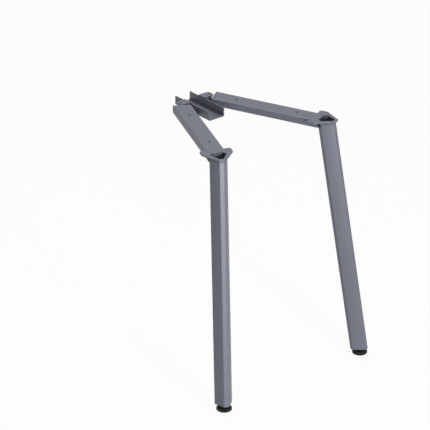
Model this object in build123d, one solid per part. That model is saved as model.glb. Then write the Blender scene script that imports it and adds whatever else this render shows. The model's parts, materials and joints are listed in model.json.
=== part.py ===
"""Table frame: two splayed legs of blunt triangular tube on arms that meet at an open channel."""
import os
from math import atan2, cos, degrees, radians, sin, sqrt

from build123d import *

os.makedirs("parts", exist_ok=True)

# Driving dimensions in mm. The floor is z = 0 and +Z is up; the frame is mirrored about the XZ plane.
FRAME_TOP = 715.0
SHEET = 3.0

HUB_LENGTH = 150.0
HUB_WIDTH = 55.0
HUB_HEIGHT = 26.5
HUB_BELOW_TOP = 3.5
FOLD_OUTER_R = 4.0
FOLD_INNER_R = 1.0

EAR_FROM_HUB_END = 54.0
EAR_WIDTH = 27.0
EAR_HOLE_OUT = 23.5
EAR_END_BEYOND_HOLE = 9.0
EAR_CORNER_R = 10.0
EAR_LIP = 16.0
SCREW_HOLE_R = 3.5

ARM_ANGLE = 22.4
ARM_WIDTH = 51.5
ARM_HEIGHT = 21.0
ARM_HOLE_FROM_HUB_END = 134.8
ARM_HOLE_FROM_MIDDLE = 85.0
ARM_INNER_OVERHANG = 72.0
ARM_END_SKEW = 4.5
ARM_HOLE_SPACING = 188.5

LEG_LONG_FACE = 36.6
LEG_SHORT_FACE = 14.3
LEG_EDGE_R = 3.0
LEG_WALL = 2.0
LEG_BACK_FROM_HOLE = 260.0
LEG_LEAN_OUT = 110.9
LEG_LEAN_SIDE = 18.6
LEG_BOTTOM = 16.0

HEAD_THICKNESS = 4.0
HEAD_WING_HALF = 44.0
HEAD_WING_LENGTH = 22.5
HEAD_SHOULDER_PAST_BACK = 2.6
HEAD_RIM = 7.0
HEAD_NOSE_HALF = 9.6
HEAD_CORNER_R = 5.0
FLANGE_PAST_BACK = 4.5
TONGUE_PAST_BACK = 8.5
TONGUE_HEIGHT = 5.5
ARM_WEB_PAST_BACK = 0.4

JOINT_THICKNESS = 4.0
JOINT_BEHIND_ARM = 17.0
JOINT_LENGTH = 38.0
JOINT_UNDER_ARM = 30.0

PAD_DIAMETER = 43.5
PAD_HEIGHT = 9.0
PAD_RIM_HEIGHT = 5.0
PAD_SHOULDER = 4.5
PAD_BOTTOM_BEVEL = 1.0
PAD_BOSS_R = 10.0
PAD_BOSS_HEIGHT = 1.0
PAD_FLOOR = 3.0
STEM_R = 5.0
STEM_TOP = 46.0
STEM_HEAD_R = 6.5
STEM_HEAD_HEIGHT = 4.5
HEX_ACROSS_FLATS = 17.0
HEX_HEIGHT = 4.4
BUSH_R = 8.0
BUSH_LENGTH = 26.0
PLUG_LENGTH = 30.0
PLUG_LIP = 2.0
PLUG_CLEARANCE = 0.15
RUN_CLEARANCE = 0.05
HEX_GAP = 0.2

# Derived sizes. Along an arm, s runs outwards from its inner hole and d away from the frame's middle.
LEG_HEIGHT = FRAME_TOP - LEG_BOTTOM
LEG_TO_LONG_FACE = (LEG_LONG_FACE + 2 * LEG_SHORT_FACE) / (2 * sqrt(3))
LEG_TO_SHORT_FACE = (2 * LEG_LONG_FACE + LEG_SHORT_FACE) / (2 * sqrt(3))
LEG_CENTRE = LEG_BACK_FROM_HOLE + LEG_TO_LONG_FACE
LEG_NOSE = LEG_CENTRE + LEG_TO_SHORT_FACE
HEAD_SHOULDER = LEG_BACK_FROM_HOLE + HEAD_SHOULDER_PAST_BACK
HEAD_BACK = HEAD_SHOULDER - HEAD_WING_LENGTH
HEAD_NOSE = LEG_NOSE + HEAD_RIM

ARM_C = cos(radians(ARM_ANGLE))
ARM_S = sin(radians(ARM_ANGLE))
FOOT_S = LEG_CENTRE + LEG_LEAN_OUT * FRAME_TOP / LEG_HEIGHT
FOOT_D = LEG_LEAN_SIDE * FRAME_TOP / LEG_HEIGHT
LEG_END_FROM_HUB_END = (
    ARM_HOLE_FROM_HUB_END + (LEG_CENTRE + LEG_LEAN_OUT) * ARM_C - LEG_LEAN_SIDE * ARM_S
)
FOOT_FROM_HUB_END = ARM_HOLE_FROM_HUB_END + FOOT_S * ARM_C - FOOT_D * ARM_S

# The origin is on the floor, halfway between the channel's end and the far edges of the leg ends.
NOSE_FLAT = LEG_SHORT_FACE - 2 * LEG_EDGE_R / sqrt(3)
LEG_REACH = (LEG_TO_SHORT_FACE - LEG_EDGE_R) * ARM_C + NOSE_FLAT / 2 * ARM_S + LEG_EDGE_R - PLUG_CLEARANCE
HUB_END = -max(FOOT_FROM_HUB_END + PAD_DIAMETER / 2, LEG_END_FROM_HUB_END + LEG_REACH) / 2
HUB_MIDDLE = HUB_END + HUB_LENGTH / 2
HUB_TOP = FRAME_TOP - HUB_BELOW_TOP
EAR_X = HUB_END + EAR_FROM_HUB_END
EAR_Y = HUB_WIDTH / 2 + EAR_HOLE_OUT
ARM_HOLE = (HUB_END + ARM_HOLE_FROM_HUB_END, ARM_HOLE_FROM_MIDDLE)

ARM_PLANE = Plane(
    origin=(ARM_HOLE[0], ARM_HOLE[1], FRAME_TOP),
    x_dir=(ARM_C, ARM_S, 0),
    z_dir=(0, 0, 1),
)


def plan_point(s, d):
    """A point of the left arm's own plan, in the frame's plan."""
    return (ARM_HOLE[0] + s * ARM_C - d * ARM_S, ARM_HOLE[1] + s * ARM_S + d * ARM_C)


def leg_axis(height):
    """Where the left leg's axis passes a height above the floor, in the arm's own plan."""
    drop = (FRAME_TOP - height) / LEG_HEIGHT
    return (LEG_CENTRE + LEG_LEAN_OUT * drop, LEG_LEAN_SIDE * drop)


def leg_section(height, inset):
    """The tube's level section at a height, drawn inset from its outer face."""
    reach = LEG_TO_SHORT_FACE - inset
    half = LEG_SHORT_FACE / 2 - inset / sqrt(3)
    s, d = leg_axis(height)
    corners = []
    for a in (0, 120, 240):
        c, n = cos(radians(a)), sin(radians(a))
        corners.append((reach * c + half * n, reach * n - half * c))
        corners.append((reach * c - half * n, reach * n + half * c))
    outline = Polygon(*corners, align=None)
    outline = fillet(outline.vertices(), LEG_EDGE_R - inset)
    return Pos(s, d, height - FRAME_TOP) * outline


def leg_prism(low, high, inset):
    """A length of the leaning leg's section between two heights."""
    start = leg_axis(high)
    end = leg_axis(low)
    travel = (end[0] - start[0], end[1] - start[1], low - high)
    return Solid.extrude(leg_section(high, inset).face(), travel)


def level_plate(outline, top, thickness):
    """A flat plate with its upper face at a height."""
    return extrude(Pos(0, 0, top - thickness) * outline, amount=thickness)


def save(shape, node):
    """Write a node that is the same on both sides or sits on the middle."""
    export_step(shape, f"parts/{node}.step")


def save_pair(shape, node):
    """Write a left node and its mirror image on the right."""
    save(shape, f"left_{node}")
    save(mirror(shape, about=Plane.XZ), f"right_{node}")


def make_channel():
    body = Pos(HUB_MIDDLE, 0, HUB_TOP - HUB_HEIGHT / 2) * Box(HUB_LENGTH, HUB_WIDTH, HUB_HEIGHT)
    low_edges = body.edges().filter_by(Axis.X).group_by(Axis.Z)[0]
    body = fillet(low_edges, FOLD_OUTER_R)
    inner = Pos(HUB_MIDDLE, 0, HUB_TOP - HUB_HEIGHT / 2 + SHEET) * Box(
        2 * HUB_LENGTH, HUB_WIDTH - 2 * SHEET, HUB_HEIGHT
    )
    low_edges = inner.edges().filter_by(Axis.X).group_by(Axis.Z)[0]
    body -= fillet(low_edges, FOLD_INNER_R)
    ear_end = EAR_Y + EAR_END_BEYOND_HOLE
    ear_root = HUB_WIDTH / 2 - SHEET
    riser_y = HUB_WIDTH / 2 - SHEET / 2
    riser_height = HUB_BELOW_TOP + 2 * SHEET
    lip_x = EAR_X + EAR_WIDTH / 2 - SHEET / 2
    lip_end = ear_end - EAR_CORNER_R
    for side in (1, -1):
        ear = Pos(EAR_X, side * (ear_end + ear_root) / 2) * Rectangle(EAR_WIDTH, ear_end - ear_root)
        tips = ear.vertices().sort_by(lambda v: abs(v.Y))[-2:]
        ear = fillet(tips, EAR_CORNER_R)
        ear -= Pos(EAR_X, side * EAR_Y) * Circle(SCREW_HOLE_R)
        body += level_plate(ear, FRAME_TOP, SHEET)
        riser = Box(EAR_WIDTH, SHEET, riser_height)
        body += Pos(EAR_X, side * riser_y, FRAME_TOP - riser_height / 2) * riser
        lip = Box(SHEET, lip_end - ear_root, EAR_LIP)
        body += Pos(lip_x, side * (lip_end + ear_root) / 2, FRAME_TOP - EAR_LIP / 2) * lip
    return body


def make_joint_plate():
    corner_x = plan_point(-ARM_INNER_OVERHANG, -ARM_WIDTH / 2)[0]
    start = corner_x - JOINT_BEHIND_ARM
    side_y = HUB_WIDTH / 2
    reach = JOINT_UNDER_ARM - ARM_WIDTH / 2
    far = -ARM_INNER_OVERHANG + JOINT_UNDER_ARM
    near = -ARM_INNER_OVERHANG + SHEET
    outline = Polygon(
        (start, side_y),
        (start + JOINT_LENGTH, side_y),
        plan_point(far, -ARM_WIDTH / 2),
        plan_point(far, reach),
        plan_point(near, reach),
        align=None,
    )
    return level_plate(outline, FRAME_TOP - ARM_HEIGHT, JOINT_THICKNESS)


def make_arm():
    inner_end = -ARM_INNER_OVERHANG - ARM_END_SKEW
    flange_end = LEG_BACK_FROM_HOLE + FLANGE_PAST_BACK
    tongue_end = LEG_BACK_FROM_HOLE + TONGUE_PAST_BACK
    length = tongue_end - inner_end
    middle = (tongue_end + inner_end) / 2
    side = Polygon(
        (inner_end, 0),
        (inner_end, -ARM_HEIGHT),
        (tongue_end, -ARM_HEIGHT),
        (tongue_end, TONGUE_HEIGHT - ARM_HEIGHT),
        (flange_end, TONGUE_HEIGHT - ARM_HEIGHT),
        (flange_end, 0),
        align=None,
    )
    body = extrude(Plane.XZ * side, amount=ARM_WIDTH / 2, both=True)
    body = fillet(body.edges().filter_by(Axis.X).group_by(Axis.Z)[-1], FOLD_OUTER_R)
    inner = Pos(middle, 0, -ARM_HEIGHT / 2 - SHEET) * Box(2 * length, ARM_WIDTH - 2 * SHEET, ARM_HEIGHT)
    body -= fillet(inner.edges().filter_by(Axis.X).group_by(Axis.Z)[-1], FOLD_INNER_R)
    web_s = LEG_BACK_FROM_HOLE + ARM_WEB_PAST_BACK - SHEET / 2
    body += Pos(web_s, 0, -ARM_HEIGHT / 2) * Box(SHEET, ARM_WIDTH - SHEET, ARM_HEIGHT)
    skew = degrees(atan2(ARM_END_SKEW, ARM_WIDTH / 2))
    past_end = Pos(-ARM_WIDTH, 0, 0) * Box(2 * ARM_WIDTH, 4 * ARM_WIDTH, 4 * ARM_HEIGHT)
    body -= Pos(-ARM_INNER_OVERHANG, 0, 0) * Rot(0, 0, skew) * past_end
    seat_length = 2 * (flange_end - HEAD_BACK)
    body -= Pos(HEAD_BACK + seat_length / 2, 0, 0) * Box(seat_length, 2 * ARM_WIDTH, 2 * HEAD_THICKNESS)
    for s in (0, ARM_HOLE_SPACING):
        body -= Pos(s, 0, 0) * Cylinder(SCREW_HOLE_R, 2 * ARM_HEIGHT)
    return ARM_PLANE * body


def make_head_plate():
    outline = Polygon(
        (HEAD_BACK, -HEAD_WING_HALF),
        (HEAD_SHOULDER, -HEAD_WING_HALF),
        (HEAD_NOSE, -HEAD_NOSE_HALF),
        (HEAD_NOSE, HEAD_NOSE_HALF),
        (HEAD_SHOULDER, HEAD_WING_HALF),
        (HEAD_BACK, HEAD_WING_HALF),
        align=None,
    )
    outline = fillet(outline.vertices(), HEAD_CORNER_R)
    plate = level_plate(outline, 0, HEAD_THICKNESS)
    opening = leg_section(FRAME_TOP - HEAD_THICKNESS, LEG_WALL)
    plate -= extrude(opening, amount=2 * HEAD_THICKNESS)
    return ARM_PLANE * plate


def make_leg_tube():
    low = LEG_BOTTOM + PLUG_LIP
    high = FRAME_TOP - HEAD_THICKNESS
    tube = leg_prism(low, high, 0) - leg_prism(low, high, LEG_WALL)
    return ARM_PLANE * tube


def foot_place(height):
    """The left foot's upright axis at a height above the floor."""
    x, y = plan_point(FOOT_S, FOOT_D)
    return Pos(x, y, height)


def make_end_plug():
    seat = LEG_BOTTOM + PLUG_LIP
    plug = leg_prism(LEG_BOTTOM, seat, PLUG_CLEARANCE)
    plug += leg_prism(seat, seat + PLUG_LENGTH, LEG_WALL + PLUG_CLEARANCE)
    plug = ARM_PLANE * plug
    plug -= foot_place(seat + PLUG_LENGTH) * Cylinder(BUSH_R, 2 * PLUG_LENGTH)
    plug -= foot_place(seat) * Cylinder(STEM_R + 10 * RUN_CLEARANCE, 4 * PLUG_LIP)
    return plug


def make_bush():
    low = LEG_BOTTOM + PLUG_LIP
    bush = Cylinder(BUSH_R, BUSH_LENGTH) - Cylinder(STEM_R + RUN_CLEARANCE, 2 * BUSH_LENGTH)
    return foot_place(low + BUSH_LENGTH / 2) * bush


def make_stem():
    neck = PAD_FLOOR + STEM_HEAD_HEIGHT
    hex_low = PAD_HEIGHT + PAD_BOSS_HEIGHT + HEX_GAP
    stem = Pos(0, 0, PAD_FLOOR + STEM_HEAD_HEIGHT / 2) * Cylinder(STEM_HEAD_R, STEM_HEAD_HEIGHT)
    shank = Pos(0, 0, (neck + STEM_TOP) / 2) * Cylinder(STEM_R, STEM_TOP - neck)
    shank = chamfer(shank.edges().group_by(Axis.Z)[-1], STEM_R / 5)
    collar = Pos(0, 0, hex_low) * RegularPolygon(HEX_ACROSS_FLATS / 2, 6, major_radius=False)
    stem += shank
    stem += extrude(collar, amount=HEX_HEIGHT)
    return foot_place(0) * stem


def make_pad():
    rim = PAD_DIAMETER / 2
    top = PAD_HEIGHT + PAD_BOSS_HEIGHT
    bore_r = STEM_R + RUN_CLEARANCE
    pocket_r = STEM_HEAD_R + RUN_CLEARANCE
    pocket_top = PAD_FLOOR + STEM_HEAD_HEIGHT + RUN_CLEARANCE
    profile = Polyline(
        (0, 0),
        (rim - PAD_BOTTOM_BEVEL, 0),
        (rim, PAD_BOTTOM_BEVEL),
        (rim, PAD_RIM_HEIGHT),
        (rim - PAD_SHOULDER, PAD_HEIGHT),
        (PAD_BOSS_R, PAD_HEIGHT),
        (PAD_BOSS_R, top),
        (bore_r, top),
        (bore_r, pocket_top),
        (pocket_r, pocket_top),
        (pocket_r, PAD_FLOOR),
        (0, PAD_FLOOR),
        close=True,
    )
    pad = revolve(Plane.XZ * make_face(profile), Axis.Z)
    return foot_place(0) * pad


save(make_channel(), "hub_channel")
save_pair(make_joint_plate(), "joint_plate")
save_pair(make_arm(), "arm")
save_pair(make_head_plate(), "head_plate")
save_pair(make_leg_tube(), "leg_tube")
save_pair(make_end_plug(), "end_plug")
save_pair(make_bush(), "threaded_bush")
save_pair(make_stem(), "levelling_stem")
save_pair(make_pad(), "foot_pad")
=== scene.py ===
import json
import math

import bpy
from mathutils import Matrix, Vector


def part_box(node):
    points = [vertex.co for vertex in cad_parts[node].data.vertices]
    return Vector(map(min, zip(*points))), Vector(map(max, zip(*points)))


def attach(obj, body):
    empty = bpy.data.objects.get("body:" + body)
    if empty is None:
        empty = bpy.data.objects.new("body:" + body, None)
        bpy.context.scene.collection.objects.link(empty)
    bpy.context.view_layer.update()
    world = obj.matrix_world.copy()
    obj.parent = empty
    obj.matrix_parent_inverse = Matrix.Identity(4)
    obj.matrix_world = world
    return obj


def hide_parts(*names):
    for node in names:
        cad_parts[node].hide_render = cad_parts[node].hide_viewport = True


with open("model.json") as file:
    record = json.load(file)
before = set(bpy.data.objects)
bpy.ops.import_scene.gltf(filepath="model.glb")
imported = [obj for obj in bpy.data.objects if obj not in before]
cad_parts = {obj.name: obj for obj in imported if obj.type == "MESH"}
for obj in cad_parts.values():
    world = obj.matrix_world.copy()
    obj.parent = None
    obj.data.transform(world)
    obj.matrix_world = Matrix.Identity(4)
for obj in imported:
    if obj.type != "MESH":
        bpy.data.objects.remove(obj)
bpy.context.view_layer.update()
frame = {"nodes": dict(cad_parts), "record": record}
hub_low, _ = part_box("hub_channel")

MM = 0.001
FULL_TURN = 2 * math.pi
UP = Vector((0, 0, 1))

# The welded frame: heights, and places in plan.
TOP = 715 * MM
HEAD_UNDER = TOP - 4 * MM
ARM_UNDER = TOP - 21 * MM
JOINT_UNDER = ARM_UNDER - 4 * MM
HUB_SIDE = 27.5 * MM
ARM_ANGLE = math.radians(22.4)
ARM_HALF = 25.75 * MM
ARM_HOLE_X = hub_low.x + 134.8 * MM
ARM_HOLE_Y = 85 * MM

# The legs' tube, and how far it leans on its way down.
LEG_LONG_FACE = 36.6 * MM
LEG_SHORT_FACE = 14.3 * MM
LEG_EDGE_R = 3 * MM
LEG_WALL = 2 * MM
LEG_BOW = math.radians(5.4)
LEG_BACK = 260 * MM
LEG_END = 16 * MM
LEG_LEAN_OUT = 110.9 * MM
LEG_LEAN_SIDE = 18.6 * MM
LEG_EDGE_STEPS = 10
LEG_BOW_STEPS = 12
LEG_SMOOTH_BELOW = 40

# The levelling stems: a round head, a six-sided collar and a thread.
STEM_HEAD_R = 6.5 * MM
STEM_HEAD_LOW = 3 * MM
STEM_HEAD_HIGH = 7.5 * MM
STEM_HEAD_BEVEL = 0.4 * MM
COLLAR_HALF_FLAT = 8.5 * MM
COLLAR_FACE_R = 0.96 * COLLAR_HALF_FLAT
COLLAR_LOW = 10.2 * MM
COLLAR_HIGH = 14.6 * MM
COLLAR_SLOPE = math.tan(math.radians(30))
THREAD_CREST_R = 4.95 * MM
THREAD_ROOT_R = 4.1 * MM
THREAD_LOW = COLLAR_HIGH + 0.4 * MM
THREAD_HIGH = 45.2 * MM
THREAD_PITCH = 1.5 * MM
THREAD_ROOT_SHARE = 1 / 4
THREAD_FLANK_SHARE = 5 / 16
THREAD_ROWS = 8
STEM_END = 46 * MM
STEM_END_BEVEL = 0.5 * MM
STEM_SIDES = 72
STEM_SMOOTH_BELOW = 25
FOOT_TRAVEL = 15 * MM

# The weld beads. Ripples are given as share of the radius, turn per step and start.
BEAD_STEP = 0.9 * MM
BEAD_SIDES = 10
BEAD_RIPPLES = ((0.10, 1.9, 0.0), (0.05, 0.37, 1.0))
BEAD_END_SHARE = 0.45
BEAD_GROWTH = 0.2
BEAD_SMOOTH_BELOW = 60
LEG_WELD_R = 1.7 * MM
LEG_WELD_HEIGHT = HEAD_UNDER - 0.4 * MM
LEG_WELD_EDGE_STEPS = 4
ARM_WELD_R = 1.4 * MM
ARM_WELD_HEIGHT = HEAD_UNDER - 0.3 * MM
ARM_WELD_ENDS = (243.5 * MM, 262 * MM)
JOINT_WELD_R = 1.8 * MM
JOINT_WELD_INSET = 2 * MM
JOINT_WELD_LENGTH = 33 * MM
JOINT_ARM_WELD_R = 1.6 * MM
JOINT_ARM_WELD_ENDS = (-65 * MM, -43.5 * MM)

# The colours of the finishes, and the places of the colour sockets on a Mix node.
COAT_DARK = (0.098, 0.104, 0.132)
COAT_LIGHT = (0.133, 0.141, 0.176)
# Near-black colour of the painted shade in holes and tight corners.
RECESS_SHADE_COLOUR = (0.012, 0.012, 0.014, 1.0)
PLASTIC_DARK = (0.004, 0.004, 0.004)
PLASTIC_LIGHT = (0.010, 0.010, 0.010)
ZINC_DARK = (0.42, 0.425, 0.43)
ZINC_LIGHT = (0.62, 0.615, 0.59)
FLOOR_GREY = (0.65, 0.65, 0.65, 1.0)
WHITE = (1.0, 1.0, 1.0, 1.0)
MIX_SHARE, MIX_FROM, MIX_TO, MIX_OUT = 0, 6, 7, 2

# The stage: how white the floor looks, its size, and its clearance below the feet.
FLOOR_GLOW_SHARE = 0.95
FLOOR_HALF = 20.0
FLOOR_CLEARANCE = 0.2 * MM


class Value:
    """An output of a finish's nodes. Arithmetic on it adds Math nodes."""

    def __init__(self, finish, socket):
        self.finish = finish
        self.socket = socket

    def math(self, operation, first, second):
        return self.finish.node("Math", {"operation": operation}, {0: first, 1: second})

    def __add__(self, other):
        return self.math("ADD", self, other)

    def __radd__(self, other):
        return self.math("ADD", other, self)

    def __mul__(self, other):
        return self.math("MULTIPLY", self, other)

    def __rmul__(self, other):
        return self.math("MULTIPLY", other, self)

    def __pow__(self, other):
        return self.math("POWER", self, other)

    def __rpow__(self, other):
        return self.math("POWER", other, self)


class Finish:
    """A material, or the studio's surroundings, as a tree of nodes."""

    def __init__(self, owner):
        owner.use_nodes = True
        self.owner = owner
        self.tree = owner.node_tree
        self.tree.nodes.clear()

    def node(self, kind, settings=None, inputs=None, out=0):
        made = self.tree.nodes.new("ShaderNode" + kind)
        for name, value in (settings or {}).items():
            if name == "stops":
                ramp = made.color_ramp.elements
                while len(ramp) < len(value):
                    ramp.new(1.0)
                for stop, (place, shade) in zip(ramp, value):
                    stop.position = place
                    stop.color = (*shade, 1.0)
            else:
                setattr(made, name, value)
        for name, value in (inputs or {}).items():
            if isinstance(value, Value):
                self.tree.links.new(value.socket, made.inputs[name])
            else:
                made.inputs[name].default_value = value
        return Value(self, made.outputs[out])

    def end(self, kind, shader):
        last = self.tree.nodes.new("ShaderNodeOutput" + kind)
        self.tree.links.new(shader.socket, last.inputs["Surface"])
        return self.owner


def new_finish(name):
    return Finish(bpy.data.materials.new(name))


def shade_between(finish, factor, low, high):
    return finish.node("ValToRGB", {"stops": [(0.0, low), (1.0, high)]}, {0: factor})


def powder_coat():
    """Satin blue-grey powder coat: slow drift in tone, orange peel and a fine grain, with painted
    shade in holes and tight corners.
    """
    coat = new_finish("blue_grey_powder_coat")
    place = coat.node("TexCoord", out="Object")
    drift = coat.node("TexNoise", {}, {"Vector": place, "Scale": 7.0, "Detail": 3.0})
    peel = coat.node("TexNoise", {}, {"Vector": place, "Scale": 420.0, "Detail": 2.0})
    grain = coat.node(
        "TexNoise",
        {},
        {"Vector": place, "Scale": 1400.0, "Detail": 3.0, "Roughness": 0.6},
    )
    sprayed = shade_between(coat, drift * 0.7 + grain * 0.3, COAT_DARK, COAT_LIGHT)
    # Painted shade: an ambient occlusion mask darkens holes and tight corners toward a near-black
    # colour, standing in for the shade that falls there.
    painted_recess_shade = coat.node("AmbientOcclusion", {"samples": 8}, {"Distance": 10 * MM}, out="AO")
    colour = coat.node(
        "Mix",
        {"data_type": "RGBA"},
        {MIX_SHARE: painted_recess_shade ** 3.0, MIX_FROM: RECESS_SHADE_COLOUR, MIX_TO: sprayed},
        out=MIX_OUT,
    )
    edge = coat.node("Bevel", {"samples": 6}, {"Radius": 0.7 * MM})
    relief = peel * 0.6 + grain * 0.4
    normal = coat.node(
        "Bump",
        {},
        {"Strength": 0.4, "Distance": 0.16 * MM, "Height": relief, "Normal": edge},
    )
    shader = coat.node(
        "BsdfPrincipled",
        {},
        {
            "Base Color": colour,
            "Roughness": 0.36 + 0.12 * grain + 0.05 * drift,
            "Metallic": 0.25,
            "Specular IOR Level": 0.5,
            "Normal": normal,
        },
    )
    return coat.end("Material", shader)


def black_plastic():
    """Moulded black plastic with a fine spark-eroded grain."""
    plastic = new_finish("moulded_black_plastic")
    place = plastic.node("TexCoord", out="Object")
    grain = plastic.node("TexNoise", {}, {"Vector": place, "Scale": 1600.0, "Detail": 4.0})
    flow = plastic.node("TexNoise", {}, {"Vector": place, "Scale": 60.0, "Detail": 2.0})
    edge = plastic.node("Bevel", {"samples": 6}, {"Radius": 0.8 * MM})
    normal = plastic.node(
        "Bump",
        {},
        {"Strength": 0.3, "Distance": 0.08 * MM, "Height": grain, "Normal": edge},
    )
    shader = plastic.node(
        "BsdfPrincipled",
        {},
        {
            "Base Color": shade_between(plastic, flow, PLASTIC_DARK, PLASTIC_LIGHT),
            "Roughness": 0.40 + 0.18 * grain,
            "Specular IOR Level": 0.2,
            "Normal": normal,
        },
    )
    return plastic.end("Material", shader)


def plated_steel():
    """Zinc plated steel with turning marks and a slightly uneven plating."""
    steel = new_finish("zinc_plated_steel")
    place = steel.node("TexCoord", out="Object")
    cloud = steel.node("TexNoise", {}, {"Vector": place, "Scale": 180.0, "Detail": 4.0})
    level = steel.node("SeparateXYZ", {}, {"Vector": place}, out="Z")
    mark = steel.node(
        "TexNoise",
        {"noise_dimensions": "1D"},
        {"W": level, "Scale": 3800.0, "Detail": 2.0},
    )
    normal = steel.node("Bump", {}, {"Strength": 0.15, "Distance": 0.05 * MM, "Height": mark})
    shader = steel.node(
        "BsdfPrincipled",
        {},
        {
            "Base Color": shade_between(steel, cloud, ZINC_DARK, ZINC_LIGHT),
            "Metallic": 1.0,
            "Roughness": 0.24 + 0.16 * cloud + 0.06 * mark,
            "Normal": normal,
        },
    )
    return steel.end("Material", shader)


def seen_directly(finish):
    """1 for what the eye, a reflection or a clear piece sees, 0 for light on the object."""
    eye = finish.node("LightPath", out="Is Camera Ray")
    gloss = finish.node("LightPath", out="Is Glossy Ray")
    clear = finish.node("LightPath", out="Is Transmission Ray")
    return eye.math("MAXIMUM", eye.math("MAXIMUM", eye, gloss), clear)


def pale_floor():
    """A matt grey floor that looks nearly white and keeps a faint shadow."""
    floor = new_finish("pale_floor")
    matt = floor.node("BsdfDiffuse", {}, {"Color": FLOOR_GREY})
    glow = floor.node("Emission", {}, {"Color": WHITE, "Strength": 1.0})
    share = seen_directly(floor) * FLOOR_GLOW_SHARE
    shader = floor.node("MixShader", {}, {0: share, 1: matt, 2: glow})
    return floor.end("Material", shader)


def pale_surroundings(light):
    """A white studio all round, which lights the object at the given strength."""
    world = bpy.data.worlds.new("studio")
    bpy.context.scene.world = world
    around = Finish(world)
    lit = around.node("Background", {}, {"Color": WHITE, "Strength": light})
    seen = around.node("Background", {}, {"Color": WHITE, "Strength": 1.0})
    shader = around.node("MixShader", {}, {0: seen_directly(around), 1: lit, 2: seen})
    around.end("World", shader)


finishes = {
    "frame_coat": powder_coat(),
    "black_plastic": black_plastic(),
    "plated_steel": plated_steel(),
}


def dress(piece, slot):
    piece.data.materials.clear()
    piece.data.materials.append(finishes[slot])


for part in frame["record"]["subparts"]:
    dress(frame["nodes"][part["node"]], part["material_slot"])


def add_piece(name, points, faces, body, slot, smooth_below):
    """A new piece on a body, smooth where its faces meet at less than an angle in degrees."""
    mesh = bpy.data.meshes.new(name)
    mesh.from_pydata(points, [], faces)
    mesh.shade_smooth()
    mesh.set_sharp_from_angle(angle=math.radians(smooth_below))
    piece = bpy.data.objects.new(name, mesh)
    bpy.context.scene.collection.objects.link(piece)
    dress(piece, slot)
    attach(piece, body)
    return piece


def skin(rings, closed=False):
    """Points and faces over rings of equal length, with end caps unless the rings close up."""
    size = len(rings[0])
    points = [p for ring in rings for p in ring]
    faces = []
    last = len(rings) if closed else len(rings) - 1
    for i in range(last):
        a = i * size
        b = ((i + 1) % len(rings)) * size
        for j in range(size):
            k = (j + 1) % size
            faces.append((a + j, a + k, b + k, b + j))
    if not closed:
        faces.append(tuple(reversed(range(size))))
        faces.append(tuple(range(len(points) - size, len(points))))
    return points, faces


def thread_depth(turns):
    """0 at a thread's root and 1 at its crest, along one pitch."""
    t = turns % 1.0
    rising = (t - THREAD_ROOT_SHARE) / THREAD_FLANK_SHARE
    falling = (1.0 - t) / THREAD_FLANK_SHARE
    return max(0.0, min(1.0, rising, falling))


def stem_rings(centre):
    """Rings from the stem's round head up through its collar to the end of its thread."""
    angles = [FULL_TURN * i / STEM_SIDES for i in range(STEM_SIDES)]
    sixth = FULL_TURN / 6

    def ring(radius, height):
        """A ring whose radius and height are numbers, or change with the angle."""
        line = []
        for a in angles:
            r = radius(a) if callable(radius) else radius
            h = height(a) if callable(height) else height
            line.append((centre.x + r * math.cos(a), centre.y + r * math.sin(a), h))
        return line

    def collar(a):
        return COLLAR_HALF_FLAT / math.cos((a + sixth / 2) % sixth - sixth / 2)

    def collar_drop(a):
        return (collar(a) - COLLAR_FACE_R) * COLLAR_SLOPE

    rings = [
        ring(STEM_HEAD_R - STEM_HEAD_BEVEL, STEM_HEAD_LOW),
        ring(STEM_HEAD_R, STEM_HEAD_LOW + STEM_HEAD_BEVEL),
        ring(STEM_HEAD_R, STEM_HEAD_HIGH - STEM_HEAD_BEVEL),
        ring(STEM_HEAD_R - STEM_HEAD_BEVEL, STEM_HEAD_HIGH),
        ring(THREAD_CREST_R, STEM_HEAD_HIGH),
        ring(THREAD_CREST_R, COLLAR_LOW),
        ring(COLLAR_FACE_R, COLLAR_LOW),
        ring(collar, lambda a: COLLAR_LOW + collar_drop(a)),
        ring(collar, lambda a: COLLAR_HIGH - collar_drop(a)),
        ring(COLLAR_FACE_R, COLLAR_HIGH),
        ring(THREAD_ROOT_R, COLLAR_HIGH),
    ]
    length = THREAD_HIGH - THREAD_LOW
    depth = THREAD_CREST_R - THREAD_ROOT_R
    rows = int(length / (THREAD_PITCH / THREAD_ROWS))
    for i in range(rows + 1):
        z = THREAD_LOW + length * i / rows
        grown = min(1.0, i / THREAD_ROWS, (rows - i) / THREAD_ROWS)

        def thread(a, z=z, grown=grown):
            return THREAD_ROOT_R + depth * thread_depth(z / THREAD_PITCH - a / FULL_TURN) * grown

        rings.append(ring(thread, z))
    rings.append(ring(THREAD_ROOT_R - STEM_END_BEVEL, STEM_END))
    return rings


for side in ("left", "right"):
    low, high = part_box(side + "_levelling_stem")
    points, faces = skin(stem_rings((low + high) / 2))
    stem = add_piece(
        side + "_threaded_stem", points, faces, side + "_stem", "plated_steel", STEM_SMOOTH_BELOW
    )
    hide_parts(side + "_levelling_stem")


def bead_rings(path, radius, closed):
    """Rings of a hand-laid weld bead along points: rippled, and tapered at open ends."""
    rings = []
    count = len(path)
    angles = [FULL_TURN * j / BEAD_SIDES for j in range(BEAD_SIDES)]
    for i, here in enumerate(path):
        ahead = path[(i + 1) % count] if closed or i + 1 < count else here
        behind = path[i - 1] if closed or i > 0 else here
        along = (ahead - behind).normalized()
        across = along.cross(UP).normalized()
        rise = across.cross(along)
        r = radius
        r *= 1.0 + sum(share * math.sin(i * turn + start) for share, turn, start in BEAD_RIPPLES)
        if not closed:
            r *= min(1.0, BEAD_END_SHARE + BEAD_GROWTH * min(i, count - 1 - i))
        rings.append(
            [tuple(here + across * (r * math.cos(a)) - rise * (r * math.sin(a))) for a in angles]
        )
    return rings


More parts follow.
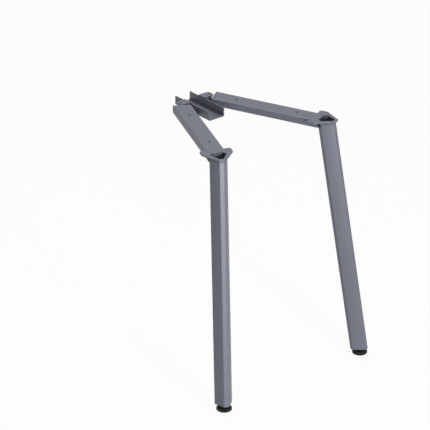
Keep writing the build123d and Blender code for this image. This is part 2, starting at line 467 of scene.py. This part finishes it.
def spaced(corners, step, closed):
    """Points at an even step along a line of corners."""
    following = corners[1:] + corners[:1] if closed else corners[1:]
    points = []
    for a, b in zip(corners, following):
        pieces = max(1, round((b - a).length / step))
        points += [a.lerp(b, k / pieces) for k in range(pieces)]
    if not closed:
        points.append(corners[-1])
    return points


def weld(name, corners, radius, closed=False):
    path = spaced(corners, BEAD_STEP, closed)
    points, faces = skin(bead_rings(path, radius, closed), closed)
    add_piece(name, points, faces, "frame", "frame_coat", BEAD_SMOOTH_BELOW)


def on_arm(side, s, d, height):
    """A point in an arm's plan, at a height: s out from its inner hole, d from the middle line."""
    x = ARM_HOLE_X + s * math.cos(ARM_ANGLE) - d * math.sin(ARM_ANGLE)
    y = ARM_HOLE_Y + s * math.sin(ARM_ANGLE) + d * math.cos(ARM_ANGLE)
    return Vector((x, side * y, height))


def leg_middle(side, height):
    """The middle of a leg's section at a height."""
    to_long = (LEG_LONG_FACE + 2 * LEG_SHORT_FACE) / (2 * math.sqrt(3))
    drop = (TOP - height) / (TOP - LEG_END)
    return on_arm(side, LEG_BACK + to_long + LEG_LEAN_OUT * drop, LEG_LEAN_SIDE * drop, height)


def arc(centre, radius, start, end, steps):
    """Points round a centre in plan, both ends among them."""
    angles = [start + (end - start) * k / steps for k in range(steps + 1)]
    x, y = centre
    return [(x + radius * math.cos(a), y + radius * math.sin(a)) for a in angles]


def leg_outline(side, height, inset=0.0, edge_steps=LEG_EDGE_STEPS):
    """A leg's line at a height: flat short faces, slightly bowed long ones and rounded edges."""
    root = math.sqrt(3)
    long_face = LEG_LONG_FACE - 2 * inset / root
    short_face = LEG_SHORT_FACE - 2 * inset / root
    edge_r = LEG_EDGE_R - inset
    to_edge = (2 * long_face + short_face) / (2 * root) - edge_r
    half_short = short_face / 2 - edge_r / root
    half_long = long_face / 2 - edge_r / root + edge_r * math.sin(LEG_BOW)
    bow_r = half_long / math.sin(LEG_BOW)
    edge_turn = math.radians(60) - LEG_BOW
    line = []
    for facing in (0, 120, 240):
        f = math.radians(facing)
        for hand in (-1, 1):
            centre = (
                to_edge * math.cos(f) - hand * half_short * math.sin(f),
                to_edge * math.sin(f) + hand * half_short * math.cos(f),
            )
            start = f - edge_turn if hand < 0 else f
            line += arc(centre, edge_r, start, start + edge_turn, edge_steps)
        bow_start = f + edge_turn
        x, y = line[-1]
        centre = (x - bow_r * math.cos(bow_start), y - bow_r * math.sin(bow_start))
        line += arc(centre, bow_r, bow_start, bow_start + 2 * LEG_BOW, LEG_BOW_STEPS)[1:-1]
    middle = leg_middle(side, height) - on_arm(side, 0, 0, 0)
    placed = [middle + on_arm(side, s, d, 0) for s, d in line]
    return placed if side > 0 else placed[::-1]


def leg_rings(side, low, high):
    """Rings up the outside of a leg's tube and down its inside."""
    return [
        leg_outline(side, low),
        leg_outline(side, high),
        leg_outline(side, high, LEG_WALL),
        leg_outline(side, low, LEG_WALL),
    ]


for name, side in (("left", 1), ("right", -1)):
    tube_low, tube_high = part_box(name + "_leg_tube")
    points, faces = skin(leg_rings(side, tube_low.z, tube_high.z), closed=True)
    leg = add_piece(
        name + "_bowed_leg", points, faces, "frame", "frame_coat", LEG_SMOOTH_BELOW
    )
    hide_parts(name + "_leg_tube")
    leg_line = leg_outline(side, LEG_WELD_HEIGHT, edge_steps=LEG_WELD_EDGE_STEPS)
    weld(name + "_leg_weld", leg_line, LEG_WELD_R, closed=True)
    for edge, d in (("inner", -ARM_HALF), ("outer", ARM_HALF)):
        ends = [on_arm(side, s, d, ARM_WELD_HEIGHT) for s in ARM_WELD_ENDS]
        weld(name + "_" + edge + "_arm_weld", ends, ARM_WELD_R)
    joint_low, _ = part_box(name + "_joint_plate")
    start = joint_low.x + JOINT_WELD_INSET
    for level, height in (("upper", ARM_UNDER), ("lower", JOINT_UNDER)):
        ends = [
            Vector((x, side * HUB_SIDE, height)) for x in (start, start + JOINT_WELD_LENGTH)
        ]
        weld(name + "_joint_" + level + "_weld", ends, JOINT_WELD_R)
    ends = [on_arm(side, s, -ARM_HALF, ARM_UNDER) for s in JOINT_ARM_WELD_ENDS]
    weld(name + "_joint_arm_weld", ends, JOINT_ARM_WELD_R)


def add_camera(turn, lift, away, target):
    """A camera at a turn and lift in degrees round its target."""
    data = bpy.data.cameras.new("camera")
    camera = bpy.data.objects.new("camera", data)
    bpy.context.scene.collection.objects.link(camera)
    turn = math.radians(turn)
    lift = math.radians(lift)
    level = math.cos(lift)
    back = Vector((math.sin(turn) * level, -math.cos(turn) * level, math.sin(lift)))
    camera.location = target + back * away
    camera.rotation_mode = "QUATERNION"
    camera.rotation_quaternion = (-back).to_track_quat("-Z", "Y")
    data.sensor_width = 36.0
    data.lens = 205.41
    data.shift_x = 0.014367
    data.shift_y = 0.002877
    data.clip_start = 0.1
    data.clip_end = 200.0
    bpy.context.scene.camera = camera


def add_lamp(name, place, aim, size, power):
    data = bpy.data.lights.new(name, "AREA")
    data.shape = "RECTANGLE"
    data.size, data.size_y = size
    data.energy = power
    lamp = bpy.data.objects.new(name, data)
    lamp.location = place
    lamp.rotation_mode = "QUATERNION"
    lamp.rotation_quaternion = (Vector(aim) - Vector(place)).to_track_quat("-Z", "Y")
    bpy.context.scene.collection.objects.link(lamp)


def add_stage():
    corners = [(FLOOR_HALF * x, FLOOR_HALF * y, 0) for x, y in ((-1, -1), (1, -1), (1, 1), (-1, 1))]
    mesh = bpy.data.meshes.new("floor")
    mesh.from_pydata(corners, [], [(0, 1, 2, 3)])
    mesh.materials.append(pale_floor())
    floor = bpy.data.objects.new("floor", mesh)
    # Low enough that a foot screwed right out stays above it.
    floor.location.z = -(FOOT_TRAVEL + FLOOR_CLEARANCE)
    bpy.context.scene.collection.objects.link(floor)


add_camera(
    turn=50.70,
    lift=26.097,
    away=6988.65 * MM,
    target=Vector((hub_low.x + 115.835 * MM, 0, 370 * MM)),
)
add_stage()
pale_surroundings(light=0.34)
add_lamp("key", place=(4.0, -0.7, 1.25), aim=(0.1, 0, 0.45), size=(0.9, 1.6), power=160)
add_lamp("overhead", place=(-0.6, -0.1, 3.0), aim=(0, 0, 0.6), size=(2.0, 2.0), power=38)
bpy.context.scene.view_settings.view_transform = "Standard"
